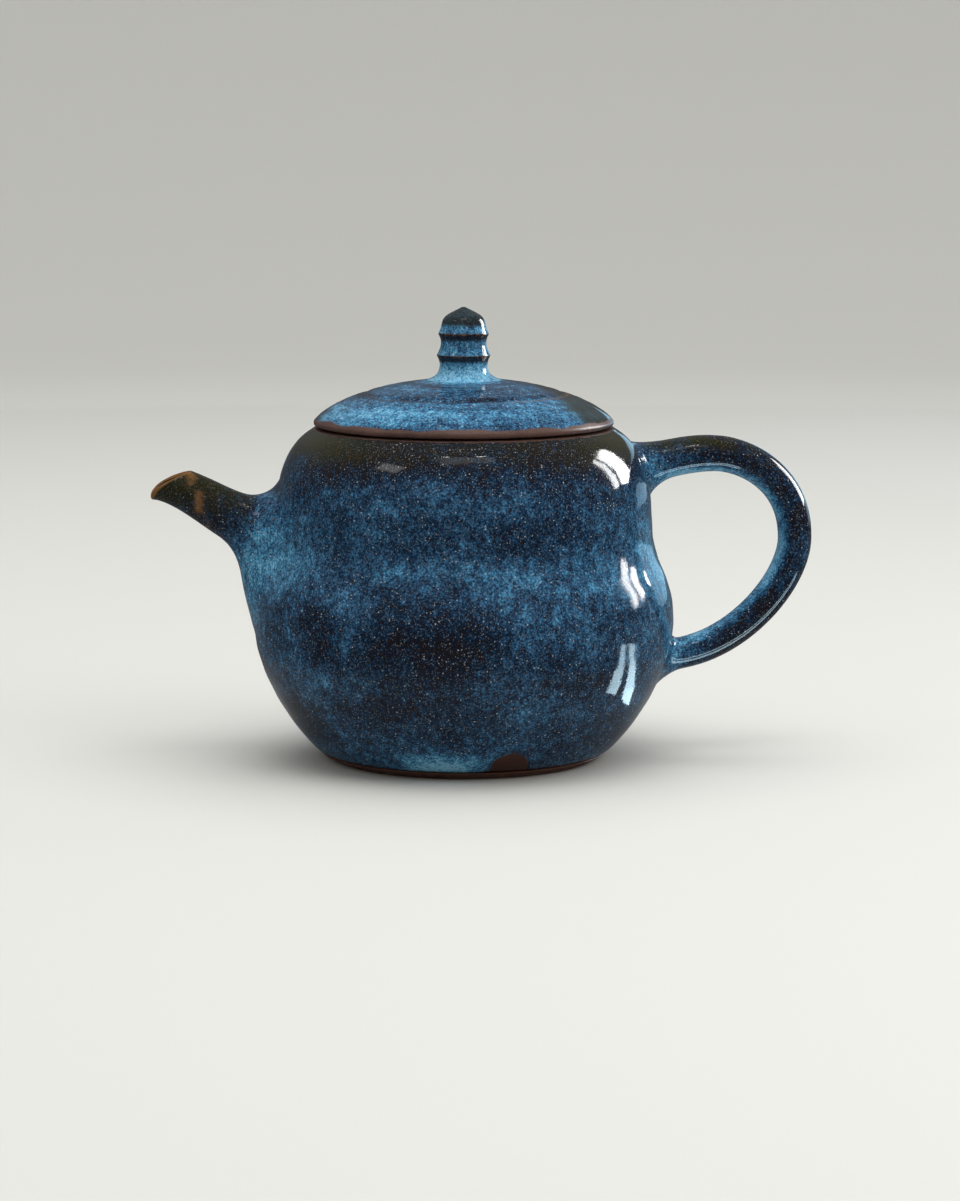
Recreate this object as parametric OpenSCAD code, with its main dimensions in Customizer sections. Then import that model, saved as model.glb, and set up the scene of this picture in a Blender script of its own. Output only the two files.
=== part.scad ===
// Wheel-thrown stoneware teapot: a pear-shaped pot with a spout, a pulled handle
// and a lid that lifts out. The axis of the pot is Z, its foot stands on z = 0,
// the spout points along -X and the handle along +X.

/* [Body] */
// Diameter of the belly at its widest
belly_d = 126; // [122:0.5:130]
// Height of the widest part of the belly
belly_z = 41.5; // [38:0.5:45]
// Diameter of the upright upper wall
upper_d = 113.2; // [109:0.2:116]
// Height at which the belly has drawn in to the upper wall
upper_z = 67; // [64:0.5:69]
// Thickness of the thrown wall
wall_t = 4.2; // [3.2:0.1:5]
// Thickness of the floor
floor_t = 5; // [4:0.5:7]

/* [Foot] */
// Diameter of the foot where it meets the table
foot_d = 79.8; // [76:0.2:84]
// Height of the foot ring, which is also the depth of the hollow under the pot
foot_h = 2.4; // [1.8:0.2:3.6]
// Width of the foot ring's standing face
foot_w = 6.4; // [5:0.2:9]

/* [Mouth] */
// Height of the flat rim on which the lid rests
seat_z = 99.4; // [98:0.2:102]
// Diameter of the rim at its outer edge
rim_d = 90; // [86:0.5:92]
// Diameter of the mouth opening
mouth_d = 77.2; // [74:0.2:79]
// Thickness of the rim ring
rim_t = 4.4; // [3.6:0.2:5.4]

/* [Spout] */
// Distance of the spout's tip from the pot's axis
spout_reach = 94.2; // [91:0.2:97]
// Height of the spout's centre line at the tip
spout_tip_z = 83.4; // [81:0.2:86]
// Height of the spout's centre line where it leaves the flared root
spout_neck_z = 73.4; // [71:0.2:76]
// Height of the middle of the spout's bore at the wall of the pot
spout_root_z = 66; // [64:0.5:68]
// Outside diameter of the spout at the tip
spout_tip_d = 10.4; // [9.6:0.2:12]
// Outside diameter of the spout where it leaves the flared root
spout_neck_d = 14.9; // [14:0.1:16.4]
// Thickness of the spout's wall
spout_t = 2.2; // [1.8:0.1:2.6]
// Thickness of the spout's wall at its lip
spout_lip_t = 1.5; // [1.2:0.1:2]
// Height of the root's upper edge on the pot
spout_top_z = 84.5; // [83:0.5:87]
// Height of the root's lower edge on the pot
spout_low_z = 37; // [34:0.5:42]
// Width of the flared root on the pot
spout_root_w = 46; // [42:0.5:50]

/* [Strainer] */
// Diameter of the hole in the wall behind the spout
strainer_d = 24; // [22:0.5:25]
// Thickness of the pierced dome
strainer_t = 2.4; // [2:0.1:3]
// Height of the dome above its collar
strainer_rise = 5.5; // [4.5:0.5:6.5]
// Diameter of each strainer hole
strainer_hole_d = 3; // [2.4:0.1:3.4]

/* [Handle] */
// Distance of the handle's centre line from the axis at its furthest
handle_reach = 100.2; // [97:0.1:103]
// Height of the handle's centre line at its highest
handle_top_z = 90.7; // [89.5:0.1:92]
// Height of the upper root on the pot
handle_upper_z = 87.4; // [86.4:0.2:88.4]
// Height of the lower root on the pot
handle_lower_z = 29.8; // [27:0.2:33]
// Thickness of the handle at the upper root, seen from the side
handle_t_upper = 11.6; // [10.8:0.2:13]
// Thickness of the handle at the lower root, seen from the side
handle_t_lower = 9.4; // [8.4:0.2:11]
// Width of the handle at the upper root
handle_w_upper = 14.6; // [12:0.2:17]
// Width of the handle at the lower root
handle_w_lower = 12; // [10:0.2:14]

/* [Lid] */
// Diameter of the lid
lid_d = 89.4; // [86:0.2:91]
// Thickness of the lid's edge
lid_edge_t = 1.8; // [1.4:0.1:2.4]
// Height of the lid's dome above its seat, up to the knob
lid_dome_h = 14; // [12.5:0.5:15.5]
// Thickness of the domed lid
lid_t = 4; // [3.2:0.1:4.6]
// Outside diameter of the flange that keeps the lid in the mouth
flange_d = 75.2; // [72:0.2:76]
// Thickness of the flange
flange_t = 3.4; // [2.6:0.1:4.2]
// Depth of the flange below the seat
flange_h = 9; // [7:0.5:12]
// Diameter of the steam hole in the lid
vent_d = 3; // [2.4:0.1:4]
// Distance of the steam hole from the lid's centre
vent_at = 24; // [19:0.5:28]

/* [Knob] */
// Diameter of the knob's flared foot on the lid
knob_foot_d = 22; // [20:0.5:25]
// Diameter of the knob's neck
knob_neck_d = 14.2; // [12.6:0.2:15]
// Diameter of the lower ridge
knob_ridge_d = 16.1; // [15.4:0.1:17.4]
// Diameter of the waist between the ridges
knob_waist_d = 13.5; // [12:0.1:14.4]
// Diameter of the upper ridge
knob_upper_d = 15.2; // [14.6:0.1:16.4]
// Diameter of the pointed cap at its edge
knob_cap_d = 12.3; // [11:0.1:13.4]
// Height of the knob above the lid
knob_h = 21.8; // [20:0.2:25]

/* [Fits] */
// Thickness of the slip between two luted pieces of clay
slip_t = 0.05; // [0.03:0.01:0.1]

/* [Hidden] */

BLUE = "steelblue";
DARK_BLUE = "midnightblue";
SKY_BLUE = "skyblue";
BARE_CLAY = "sienna";

CURVE_STEPS = 10;     // points on each stretch of a thrown profile
ROUND_FN = 96;        // fineness of a turned surface in the preview
SPOUT_SIDES = 40;
HANDLE_SIDES = 28;

foot_r = foot_d / 2;
belly_r = belly_d / 2;
upper_r = upper_d / 2;
rim_r = rim_d / 2;
mouth_r = mouth_d / 2;
rim_z = seat_z - rim_t;
floor_z = foot_h + floor_t;
knob_z = seat_z + lid_dome_h;

// ---- curves ----

function bezier(p, t) =
    pow(1 - t, 3) * p[0] + 3 * pow(1 - t, 2) * t * p[1] + 3 * (1 - t) * t * t * p[2] + pow(t, 3) * p[3];

function bezier_slope(p, t) =
    3 * pow(1 - t, 2) * (p[1] - p[0]) + 6 * (1 - t) * t * (p[2] - p[1]) + 3 * t * t * (p[3] - p[2]);

// The stretch without its first point, so that stretches can follow each other
function stretch(p, steps = CURVE_STEPS) = [for (i = [1:steps]) bezier(p, i / steps)];

function unit(v) = v / norm(v);

function between(a, b, share) = a + (b - a) * share;

function reversed(list) = [for (i = [len(list) - 1:-1:0]) list[i]];

// ---- the thrown profile: [radius, height] from the foot up to the rim ----

foot_edge = [foot_r + 1.4, 0.9];
rim_corner = [rim_r, seat_z - 0.6];
rim_flat_r = rim_r - 1.8;

outer_profile = concat(
    [[foot_r, 0]],
    stretch([[foot_r, 0], [foot_r, 0.4], foot_edge - [0.9, 0.2], foot_edge], 3),
    stretch([foot_edge, foot_edge + [6, 3.2], [belly_r, belly_z - 18], [belly_r, belly_z]], 2 * CURVE_STEPS),
    stretch([[belly_r, belly_z], [belly_r, belly_z + 13], [upper_r + 1.5, upper_z - 11], [upper_r, upper_z]]),
    stretch([[upper_r, upper_z], [upper_r - 0.7, upper_z + 10], [upper_r + 0.3, rim_corner[1] - 6.7], rim_corner],
            2 * CURVE_STEPS),
    stretch([rim_corner, rim_corner + [-0.5, 0.3], [rim_flat_r + 0.6, seat_z], [rim_flat_r, seat_z]], 4)
);

radius_by_height = [for (p = outer_profile) [p[1], p[0]]];
function outer_r(z) = lookup(z, radius_by_height);

// The inside of the wall, a wall's thickness in from the outside
function profile_normal(i) =
    let (a = outer_profile[max(i - 1, 0)],
         b = outer_profile[min(i + 1, len(outer_profile) - 1)],
         along = unit(b - a))
    [along[1], -along[0]];
inner_profile = [for (i = [4:len(outer_profile) - 1]) outer_profile[i] - wall_t * profile_normal(i)];
inner_radius_by_height = [for (p = inner_profile) [p[1], p[0]]];
function inner_r(z) = lookup(z, inner_radius_by_height);

// Point of the pot's outside at a width y and a height z, on the -X side (side = -1) or the +X side,
// lifted off the wall by a slip joint and by a further height h
function on_pot(side, y, z, h = 0) =
    [side * (sqrt(pow(outer_r(z), 2) - y * y) + slip_t + h), y, z];

// The same point as [y, z, h], for a point that is already in place
function off_pot(p) = [p[1], p[2], abs(p[0]) - slip_t - sqrt(pow(outer_r(p[2]), 2) - p[1] * p[1])];

// A blend that leaves "from" towards "corner" and runs out smoothly on the pot at "to"; all three are
// [y, z, h]. The pulls say how far the blend follows the tube and how far it follows the wall.
TUBE_PULL = 0.47;
WALL_PULL = 0.43;
function root_blend(side, from, corner, to, steps) =
    let (p = [from, from + TUBE_PULL * (corner - from), to + WALL_PULL * (corner - to), to])
    [for (i = [1:steps]) let (q = bezier(p, i / steps)) on_pot(side, q[0], q[1], q[2])];

// ---- skins over rings of points ----

// A closed loop of rings, such as a tube with a bore: the last ring joins the first
module skin_loop(rings) {
    sides = len(rings[0]);
    count = len(rings);
    polyhedron(
        points = [for (ring = rings) each ring],
        faces = [for (i = [0:count - 1], k = [0:sides - 1], half = [0, 1])
            let (a = i * sides + k, b = i * sides + (k + 1) % sides,
                 c = ((i + 1) % count) * sides + (k + 1) % sides, d = ((i + 1) % count) * sides + k)
            half == 0 ? [a, b, c] : [a, c, d]]
    );
}

// A rod of rings, closed by a face at each end
module skin_rod(rings) {
    sides = len(rings[0]);
    last = (len(rings) - 1) * sides;
    polyhedron(
        points = [for (ring = rings) each ring],
        faces = concat(
            [for (i = [0:len(rings) - 2], k = [0:sides - 1], half = [0, 1])
                let (a = i * sides + k, b = i * sides + (k + 1) % sides)
                half == 0 ? [a, b, b + sides] : [a, b + sides, a + sides]],
            [[for (k = [sides - 1:-1:0]) k]],
            [[for (k = [0:sides - 1]) last + k]]
        )
    );
}

// The same lengthwise lines of points, turned into rings
function transposed(lines) = [for (i = [0:len(lines[0]) - 1]) [for (line = lines) line[i]]];

// ---- spout ----

SPOUT_TUBE_STEPS = 14;
SPOUT_BLEND_STEPS = 10;
SPOUT_SEAT_STEPS = 5;
SPOUT_LIP_BACK = 0.4;     // how far the mouth is cut back along the top, as a share of the tube
SPOUT_LIP_CURVE = 1.1;    // over 1, the sides of the mouth stand proud of a flat cut
SPOUT_CORNER = 1.35;      // height of the tube's slanting section at the wall / its diameter

spout_tip_r = spout_tip_d / 2;
spout_neck_r = spout_neck_d / 2;
spout_neck = [-(upper_r + 12.6), spout_neck_z];
spout_tip = [-spout_reach, spout_tip_z];
spout_line = [spout_neck, spout_neck + [-6.5, 3.2], spout_tip + [7.5, 1.8], spout_tip];

function spout_radius(t) = spout_tip_r + (spout_neck_r - spout_tip_r) * pow(1 - t, 1.2);
function spout_wall(t) = between(spout_t, spout_lip_t, t);

// Point on the spout's skin at t along its centre line and at an angle round it, 0 being the top
function spout_point(t, angle, r) =
    let (c = bezier(spout_line, t), along = unit(bezier_slope(spout_line, t)), up = [along[1], -along[0]],
         q = c + r * cos(angle) * up)
    [q[0], r * sin(angle), q[1]];

// The mouth is cut slanting back
function spout_end_t(angle) = 1 - SPOUT_LIP_BACK * pow((1 + cos(angle)) / 2, SPOUT_LIP_CURVE);

// A lengthwise line of the tube from its slanted mouth back to the neck, on the outside or in the bore
function spout_tube(angle, in_bore) =
    [for (i = [0:SPOUT_TUBE_STEPS])
        let (t = spout_end_t(angle) * (1 - i / SPOUT_TUBE_STEPS))
        spout_point(t, angle, spout_radius(t) - (in_bore ? spout_wall(t) : 0))];

// Where the root of the spout ends on the pot, and where its bore opens behind it
function spout_edge(angle) =
    [spout_root_w / 2 * sin(angle),
     spout_root_z + (cos(angle) > 0 ? spout_top_z - spout_root_z : spout_root_z - spout_low_z) * cos(angle), 0];
bore_r = strainer_d / 2 + 0.4;
function spout_bore(angle) = [bore_r * sin(angle), spout_root_z + bore_r * cos(angle), 0];

// Where the tube would meet the pot if it had no flared root
function spout_corner(angle, r) = [r * sin(angle), spout_root_z + SPOUT_CORNER * r * cos(angle), 0];

function spout_skin_line(angle) =
    let (outside = spout_tube(angle, false),
         inside = spout_tube(angle, true),
         edge = spout_edge(angle),
         bore = spout_bore(angle),
         flare = root_blend(-1, off_pot(outside[SPOUT_TUBE_STEPS]), spout_corner(angle, spout_neck_r),
                            edge, SPOUT_BLEND_STEPS),
         seat = [for (i = [1:SPOUT_SEAT_STEPS])
             let (q = edge + (bore - edge) * i / SPOUT_SEAT_STEPS) on_pot(-1, q[0], q[1])],
         funnel = root_blend(-1, off_pot(inside[SPOUT_TUBE_STEPS]), spout_corner(angle, spout_neck_r - spout_t),
                             bore, SPOUT_BLEND_STEPS))
    concat(outside, flare, seat, reversed([for (i = [0:SPOUT_BLEND_STEPS - 2]) funnel[i]]), reversed(inside));

module spout() {
    lines = [for (k = [0:SPOUT_SIDES - 1]) spout_skin_line(360 * k / SPOUT_SIDES)];
    color(DARK_BLUE) skin_loop(transposed(lines));
}

// ---- strainer ----

strainer_r = strainer_d / 2 - slip_t;
dome_r = (pow(strainer_r, 2) + pow(strainer_rise, 2)) / (2 * strainer_rise);
dome_flat = dome_r - strainer_rise;         // from the dome's centre to its collar
collar_x = sqrt(pow(outer_r(spout_root_z), 2) - pow(strainer_d / 2, 2)) - 0.4;   // outer end, inside the wall
collar_h = wall_t - 0.3;

DOME_STEPS = 6;
STRAINER_ROWS = [[1, 0], [6, 0.37], [12, 0.71]];    // [how many holes, distance from the middle / strainer_r]

// Rounded disc with a collar: the dome rises along +Z from the collar's inner end at z = 0
module strainer_dome() {
    inside_r = dome_r - strainer_t;
    outer_angle = asin(strainer_r / dome_r);
    inner_angle = min(acos(dome_flat / inside_r), asin((strainer_r - strainer_t) / inside_r));
    turned(concat(
        [for (i = [0:DOME_STEPS])
            let (a = outer_angle * i / DOME_STEPS) [dome_r * sin(a), dome_r * cos(a) - dome_flat]],
        [[strainer_r, -collar_h], [strainer_r - strainer_t, -collar_h]],
        [for (i = [DOME_STEPS:-1:0])
            let (a = inner_angle * i / DOME_STEPS) [inside_r * sin(a), inside_r * cos(a) - dome_flat]]
    ));
}

module strainer() {
    color(BARE_CLAY) translate([collar_h - collar_x, 0, spout_root_z]) rotate([0, 90, 0]) difference() {
        strainer_dome();
        for (row = STRAINER_ROWS, i = [0:row[0] - 1])
            rotate([0, 0, 360 * (i + 0.5) / row[0]]) translate([row[1] * strainer_r, 0, -2 * collar_h])
                cylinder(h = 4 * strainer_rise, d = strainer_hole_d, $fn = 24);
    }
}

// ---- handle ----

HANDLE_STEPS = [9, 14, 16];     // rings on each stretch of the handle
HANDLE_ROOT_STEPS = 7;
HANDLE_CAP_RINGS = 3;

crest_x = upper_r + 18.7;
handle_stretches = [
    [[outer_r(handle_upper_z), handle_upper_z], [outer_r(handle_upper_z) + 13.6, handle_upper_z + 3.6],
     [crest_x - 3, handle_top_z], [crest_x, handle_top_z]],
    [[crest_x, handle_top_z], [crest_x + 8, handle_top_z], [handle_reach, upper_z + 17.3],
     [handle_reach, upper_z - 1.9]],
    [[handle_reach, upper_z - 1.9], [handle_reach, upper_z - 15.8], [belly_r + 18.4, handle_lower_z + 0.2],
     [outer_r(handle_lower_z), handle_lower_z]]
];
HANDLE_CLEAR = [0.22, 0.92];    // the part of the first and of the last stretch that is free of the roots

// Centre line as [point, direction, share of the way from the upper to the lower root]
function handle_station(s, t) =
    [bezier(handle_stretches[s], t), unit(bezier_slope(handle_stretches[s], t)), (s + t) / 3];

handle_line = concat(
    [for (i = [0:HANDLE_STEPS[0]])
        handle_station(0, HANDLE_CLEAR[0] + (1 - HANDLE_CLEAR[0]) * i / HANDLE_STEPS[0])],
    [for (i = [1:HANDLE_STEPS[1]]) handle_station(1, i / HANDLE_STEPS[1])],
    [for (i = [1:HANDLE_STEPS[2]]) handle_station(2, HANDLE_CLEAR[1] * i / HANDLE_STEPS[2])]
);

function handle_half_t(share) = between(handle_t_upper, handle_t_lower, share) / 2;
function handle_half_w(share) = between(handle_w_upper, handle_w_lower, share) / 2;

// Point on the handle's skin at a station and an angle, 0 being the side away from the fingers
function handle_point(station, angle) =
    let (out = [-station[1][1], station[1][0]],
         q = station[0] + handle_half_t(station[2]) * cos(angle) * out)
    [q[0], handle_half_w(station[2]) * sin(angle), q[1]];

// A root on the pot: [height of its centre, half height upwards, half height downwards, half width]
UPPER_ROOT = [handle_upper_z, 7.2, 9.6, handle_w_upper / 2 + 3.4];
LOWER_ROOT = [handle_lower_z, 7, 11.4, handle_w_lower / 2 + 3.4];

// The angle runs from the top of the upper root; at the lower root the same line of skin comes in from below
function root_edge(root, turned, angle, share = 1) =
    let (up = turned * cos(angle))
    [share * root[3] * sin(angle), root[0] + share * (up > 0 ? root[1] : root[2]) * up, 0];

function handle_skin_line(angle) =
    let (free = [for (station = handle_line) handle_point(station, angle)],
         upper_edge = root_edge(UPPER_ROOT, 1, angle),
         lower_edge = root_edge(LOWER_ROOT, -1, angle),
         upper_corner = [handle_half_w(0) * sin(angle), handle_upper_z + handle_half_t(0) * cos(angle), 0],
         lower_corner = [handle_half_w(1) * sin(angle), handle_lower_z - handle_half_t(1) * cos(angle), 0],
         shares = [for (i = [1:HANDLE_CAP_RINGS]) 1 - 0.3 * i])
    concat(
        [for (share = reversed(shares)) let (q = root_edge(UPPER_ROOT, 1, angle, share)) on_pot(1, q[0], q[1])],
        reversed(root_blend(1, off_pot(free[0]), upper_corner, upper_edge, HANDLE_ROOT_STEPS)),
        free,
        root_blend(1, off_pot(free[len(free) - 1]), lower_corner, lower_edge, HANDLE_ROOT_STEPS),
        [for (share = shares) let (q = root_edge(LOWER_ROOT, -1, angle, share)) on_pot(1, q[0], q[1])]
    );

module handle() {
    lines = [for (k = [0:HANDLE_SIDES - 1]) handle_skin_line(360 * k / HANDLE_SIDES)];
    color(DARK_BLUE) skin_rod(transposed(lines));
}

// ---- turned pieces ----

module turned(profile) {
    rotate_extrude($fn = ROUND_FN) polygon(profile);
}

module body() {
    color(BLUE) difference() {
        turned(concat(
            [[0, foot_h], [outer_r(foot_h), foot_h]],
            [for (p = outer_profile) if (p[1] > foot_h + 0.01 && p[1] < rim_z - 0.01) p],
            [[outer_r(rim_z), rim_z], [inner_r(rim_z), rim_z]],
            reversed([for (p = inner_profile) if (p[1] > floor_z + 0.01 && p[1] < rim_z - 0.01) p]),
            [[inner_r(floor_z), floor_z], [0, floor_z]]
        ));
        translate([-belly_r - 5, 0, spout_root_z]) rotate([0, 90, 0])
            cylinder(h = belly_r, d = strainer_d, $fn = ROUND_FN);
    }
}

module foot_ring() {
    color(BARE_CLAY) turned(concat(
        [[foot_r - foot_w, 0]],
        [for (p = outer_profile) if (p[1] < foot_h - 0.01) p],
        [[outer_r(foot_h), foot_h], [foot_r - foot_w, foot_h]]
    ));
}

module mouth_rim() {
    inner_round = 0.8;
    color(BARE_CLAY) turned(concat(
        [[mouth_r, rim_z], [outer_r(rim_z), rim_z]],
        [for (p = outer_profile) if (p[1] > rim_z + 0.01) p],
        [[mouth_r + inner_round, seat_z], [mouth_r, seat_z - inner_round]]
    ));
}

// ---- lid ----

lid_r = lid_d / 2;
lid_flat_r = lid_r - 1.3;
lid_edge_z = seat_z + lid_edge_t;
flange_r = flange_d / 2;
knob_foot_r = knob_foot_d / 2;

lid_edge_profile = concat(
    [[lid_flat_r, seat_z]],
    stretch([[lid_flat_r, seat_z], [lid_r - 0.4, seat_z + 0.1], [lid_r + 0.2, seat_z + 0.8], [lid_r, lid_edge_z]], 5)
);
lid_dome_profile = concat(
    [[lid_r, lid_edge_z]],
    stretch([[lid_r, lid_edge_z], [lid_r - 4, lid_edge_z + 5.2], [29, knob_z - 3], [20, knob_z - 1.4]],
            2 * CURVE_STEPS),
    stretch([[20, knob_z - 1.4], [16.5, knob_z - 0.8], [knob_foot_r + 2.5, knob_z - 0.5], [knob_foot_r, knob_z]], 4)
);
dome_height_by_radius = [for (p = reversed(lid_dome_profile)) [p[0], p[1]]];
function dome_underside(r) = lookup(r, dome_height_by_radius) - lid_t;

UNDERSIDE_STEPS = 12;

module lid() {
    hollow_r = flange_r - flange_t;
    color(SKY_BLUE) difference() {
        turned(concat(
            [[hollow_r, seat_z]],
            lid_edge_profile,
            [for (i = [1:len(lid_dome_profile) - 1]) lid_dome_profile[i]],
            [[0, knob_z]],
            [for (i = [0:UNDERSIDE_STEPS])
                let (r = hollow_r * i / UNDERSIDE_STEPS) [r, dome_underside(r)]]
        ));
        translate([0, vent_at, seat_z]) cylinder(h = 2 * lid_dome_h, d = vent_d, $fn = 24);
    }
}

module lid_flange() {
    tip_round = 0.8;
    color(BARE_CLAY) turned([
        [flange_r - flange_t, seat_z - flange_h + tip_round],
        [flange_r - flange_t + tip_round, seat_z - flange_h],
        [flange_r - tip_round, seat_z - flange_h],
        [flange_r, seat_z - flange_h + tip_round],
        [flange_r, seat_z],
        [flange_r - flange_t, seat_z]
    ]);
}

// ---- knob ----

// Heights of the knob's turned details, as shares of the knob's height
NECK_AT = 0.2;
RIDGE_AT = 0.33;
WAIST_AT = 0.51;
UPPER_AT = 0.62;
COLLAR_AT = 0.78;
CAP_AT = 0.82;

function knob_at(r, share) = [r, knob_z + share * knob_h];

knob_profile = let (
    foot = knob_at(knob_foot_r, 0),
    neck = knob_at(knob_neck_d / 2, NECK_AT),
    ridge = knob_at(knob_ridge_d / 2, RIDGE_AT),
    waist = knob_at(knob_waist_d / 2, WAIST_AT),
    upper = knob_at(knob_upper_d / 2, UPPER_AT),
    collar = knob_at(knob_cap_d / 2 + 0.3, COLLAR_AT),
    cap = knob_at(knob_cap_d / 2, CAP_AT),
    tip = knob_at(0, 1))
    concat(
        [[0, knob_z], foot],
        stretch([foot, foot + [-2.6, 0.7], neck + [0.1, -2.4], neck], 6),
        stretch([neck, neck + [0, 0.9], ridge + [-0.5, -0.7], ridge], 4),
        stretch([ridge, ridge + [-0.6, 1.2], waist + [0, -1.6], waist], 5),
        stretch([waist, waist + [0, 0.7], upper + [-0.5, -0.6], upper], 4),
        stretch([upper, upper + [-0.7, 1.3], collar + [0.2, -1.1], collar], 5),
        stretch([collar, between(collar, cap, 0.3), between(collar, cap, 0.7), cap], 2),
        stretch([cap, cap + [-0.9, 1.7], tip + [2.2, -1.3], tip], 7)
    );

module knob() {
    color(SKY_BLUE) turned(knob_profile);
}

body();
foot_ring();
mouth_rim();
spout();
strainer();
handle();
lid();
lid_flange();
knob();
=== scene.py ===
import bpy
import bmesh
import math
import numpy
from bpy.props import FloatProperty, FloatVectorProperty, IntProperty, PointerProperty
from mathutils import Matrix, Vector
from mathutils.bvhtree import BVHTree


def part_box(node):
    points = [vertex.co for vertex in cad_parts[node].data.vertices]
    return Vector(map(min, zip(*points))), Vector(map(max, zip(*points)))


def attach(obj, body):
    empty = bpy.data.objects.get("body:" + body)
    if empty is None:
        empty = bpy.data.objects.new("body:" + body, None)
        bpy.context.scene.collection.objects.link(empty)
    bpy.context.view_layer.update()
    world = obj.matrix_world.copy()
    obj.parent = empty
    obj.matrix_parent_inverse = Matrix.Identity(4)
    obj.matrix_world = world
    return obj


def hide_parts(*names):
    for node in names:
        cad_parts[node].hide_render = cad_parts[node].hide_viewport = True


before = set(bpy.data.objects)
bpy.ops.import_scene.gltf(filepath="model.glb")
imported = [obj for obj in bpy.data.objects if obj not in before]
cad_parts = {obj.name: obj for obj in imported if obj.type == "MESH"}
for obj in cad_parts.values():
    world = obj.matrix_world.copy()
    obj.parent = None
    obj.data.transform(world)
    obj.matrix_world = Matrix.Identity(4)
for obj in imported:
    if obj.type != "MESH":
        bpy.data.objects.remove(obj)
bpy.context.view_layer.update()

bl_info = {
    "name": "Speckled Stoneware Teapot",
    "version": (1, 0, 0),
    "blender": (4, 5, 0),
    "location": "3D View > Sidebar > Teapot",
    "description": "Throws, glazes and lights a dark blue stoneware teapot over its CAD frame",
    "category": "Add Mesh",
}

MM = 0.001

FOOT_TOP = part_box("foot_ring")[1].z
WALL_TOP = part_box("body")[1].z
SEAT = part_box("mouth_rim")[1].z
LID_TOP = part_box("lid")[1].z
KNOB_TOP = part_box("knob")[1].z
STRAINER_LOW, STRAINER_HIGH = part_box("strainer")

WELD = 0.002 * MM          # points closer than this are one point
HAIR = 0.01 * MM           # keeps a measured ring off the edge of its node
SLIVER = 0.02 * MM         # keeps a ring off the flat face beside it
CENTRE = 4 * MM            # radius at which a flat face closes a thrown piece
MERGE_ANGLE = math.radians(60)
CREASE_ANGLE = math.radians(50)
SHEET_SIDES = 96
DRILL_SIDES = 64
FULL_BEND = 700            # bend per metre that counts as a sharp edge
EDGE_PASSES = 2            # times that the bend is evened out with its neighbours
SEAM_REACH = 1.6 * MM      # about how far from the wall a root is still shaded as the wall
LUTE_REACH = 0.6 * MM      # how far from the wall a root is still pressed into it
LUTE_DEPTH = 0.3 * MM      # how deep it is pressed in
FREE = 9 * MM              # distance from the wall at which a piece counts as free of it
LEAN_STEP = 0.2 * MM       # how far up and down the lean of the wall is measured
STEAM_HOLE_RADIUS = 1.5 * MM
STEAM_HOLE_AT = 24 * MM    # from the lid's centre
STRAINER_HOLE = (-40 * MM, -70 * MM)    # from here to here the hole at the strainer is bored


class TeapotSizes(bpy.types.PropertyGroup):
    """How finely the pieces are thrown, and how much of the potter's hand stays in them"""
    sides: IntProperty(
        name="Sides", description="Corners of each thrown ring before it is smoothed",
        default=96, min=48, max=128)
    wall_rings: IntProperty(
        name="Wall rings", description="Rings from the foot up to the rim", default=40, min=24, max=60)
    ring_depth: FloatProperty(
        name="Throwing ring depth", description="Depth of the rings that the fingers leave in the wall",
        default=0.16 * MM, min=0, max=0.6 * MM, subtype='DISTANCE', unit='LENGTH', precision=5)
    ring_pitch: FloatProperty(
        name="Throwing ring pitch", description="Height from one throwing ring to the next",
        default=7.4 * MM, min=3 * MM, max=15 * MM, subtype='DISTANCE', unit='LENGTH', precision=4)
    lid_step_radius: FloatProperty(
        name="Lid ridge radius", description="Radius of the ridge that the rib left on the lid",
        default=30 * MM, min=24 * MM, max=36 * MM, subtype='DISTANCE', unit='LENGTH', precision=4)
    lid_step_depth: FloatProperty(
        name="Lid ridge depth", description="Depth of the groove beside the ridge on the lid",
        default=0.35 * MM, min=0, max=0.8 * MM, subtype='DISTANCE', unit='LENGTH', precision=5)
    patch_width: FloatProperty(
        name="Bare patch width", description="Width of the bare arch at the foot, where the pot was held",
        default=12 * MM, min=0.1 * MM, max=20 * MM, subtype='DISTANCE', unit='LENGTH', precision=4)
    patch_height: FloatProperty(
        name="Bare patch height", description="Height of the bare arch at the foot",
        default=9 * MM, min=0.1 * MM, max=15 * MM, subtype='DISTANCE', unit='LENGTH', precision=4)


def colour_property(name, description, default):
    return FloatVectorProperty(name=name, description=description, subtype='COLOR', size=3, min=0, max=1,
                               default=default)


class TeapotColours(bpy.types.PropertyGroup):
    """Colours of the glaze from its thinnest to its thickest, and of the clay"""
    # brown-black glaze, and also the painted shade under the knob's ridges
    char: colour_property("Char", "Brown-black glaze that broke over iron", (0.010, 0.0065, 0.007))
    ink: colour_property("Ink", "Darkest blue of the glaze", (0.002, 0.006, 0.017))
    navy: colour_property("Navy", "Deep blue of the glaze", (0.007, 0.026, 0.060))
    blue: colour_property("Blue", "Middle blue of the glaze", (0.025, 0.088, 0.175))
    sky: colour_property("Sky", "Bright blue where the glaze is thick", (0.062, 0.245, 0.415))
    pale: colour_property("Pale", "Palest blue, where the glaze pooled", (0.20, 0.46, 0.64))
    dust: colour_property("Dust", "Dim grey crystals in the glaze", (0.115, 0.140, 0.170))
    star: colour_property("Star", "Brightest crystals in the glaze", (0.58, 0.61, 0.62))
    olive: colour_property("Olive", "Thin glaze on edges that face up", (0.0115, 0.0145, 0.0014))
    amber: colour_property("Amber", "Glaze that ran thin over the clay", (0.23, 0.105, 0.030))
    edge_clay: colour_property("Wiped edge", "Purple-brown of the wiped lid edge and rim",
                               (0.088, 0.047, 0.038))
    clay: colour_property("Clay", "Toasted clay of the foot", (0.105, 0.038, 0.022))


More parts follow.
